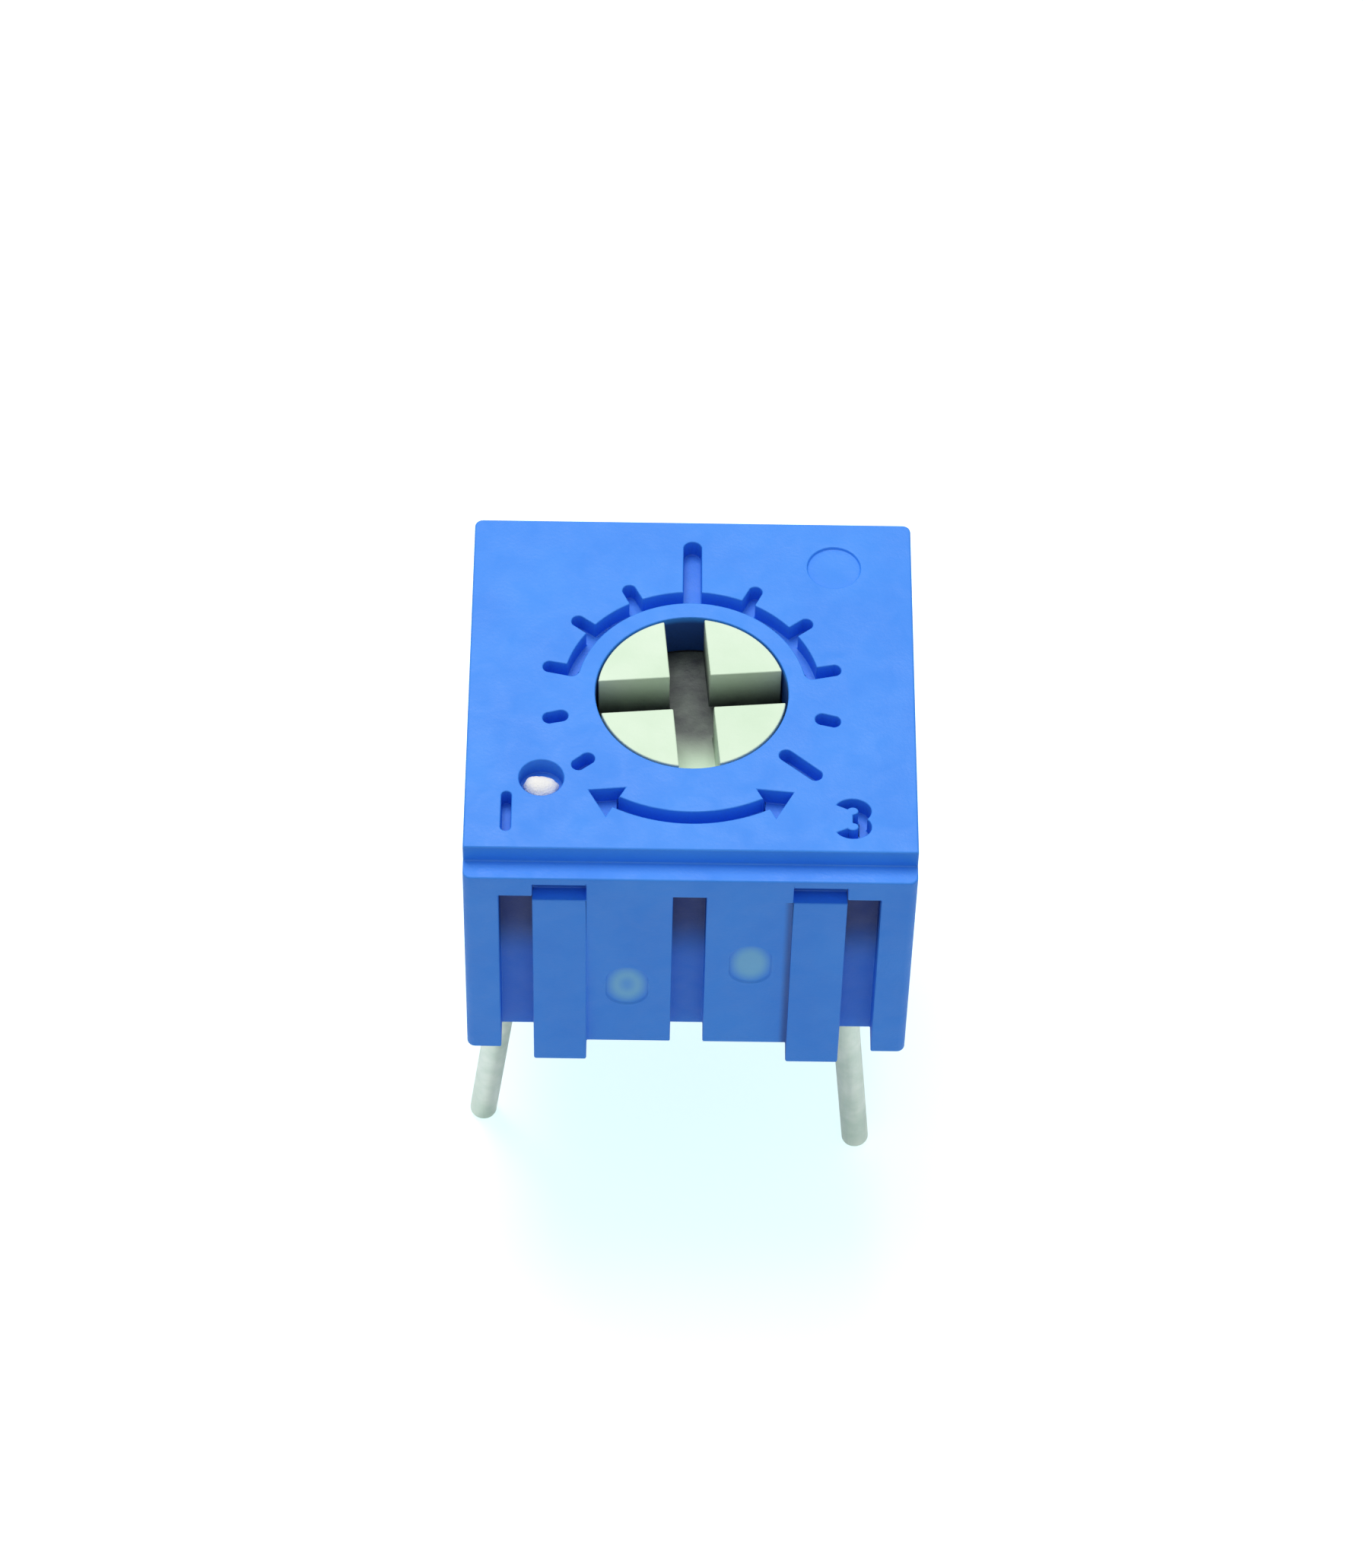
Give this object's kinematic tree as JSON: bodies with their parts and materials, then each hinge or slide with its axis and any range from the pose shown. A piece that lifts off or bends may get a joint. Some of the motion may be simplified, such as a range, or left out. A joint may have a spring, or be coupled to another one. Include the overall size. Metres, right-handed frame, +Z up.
{
  "type": "trimmer potentiometer",
  "caption": "Small square top-adjust trimmer potentiometer: blue moulded case, cross-slotted rotor in an engraved scale, sealed cermet element and wire pins for a circuit board.",
  "frame": {"origin": "rotor axis where it meets the board's surface: the plane of the feet's undersides", "axes": "+Z up along the rotor axis, out of the board; +X to the right seen from the pin 1 and pin 3 side, from pin 1 to pin 3; +Y to the rear"},
  "size_m": [0.0067, 0.0066, 0.0088],
  "materials": {
    "case_plastic": "moulded, semi-matt",
    "rotor_plastic": "moulded, fine satin",
    "silicone": "smooth",
    "spring_alloy": "stamped, plated",
    "alumina": "fired, matt",
    "cermet": "fired film, satin",
    "conductor": "fired silver film",
    "tinned_wire": "tinned, dull",
    "solder": "bright solder",
    "epoxy": "cast, glossy"
  },
  "bodies": {
    "case": {"housing": "case_plastic", "seal_ring": "silicone", "substrate": "alumina", "resistive_track": "cermet", "collector": "conductor", "end_pad_1": "conductor", "end_pad_3": "conductor", "pin_1": "tinned_wire", "pin_2": "tinned_wire", "pin_3": "tinned_wire", "solder_1": "solder", "solder_2": "solder", "solder_3": "solder", "potting_resin": "epoxy"},
    "rotor": {"rotor": "rotor_plastic", "wiper": "spring_alloy"}
  },
  "joints": [
    {"name": "rotor_turn", "type": "hinge", "parent": "case", "child": "rotor", "pos_m": [0, 0, 0.00488], "axis": [0, 0, 1], "range_deg": [-135, 125]}
  ]
}
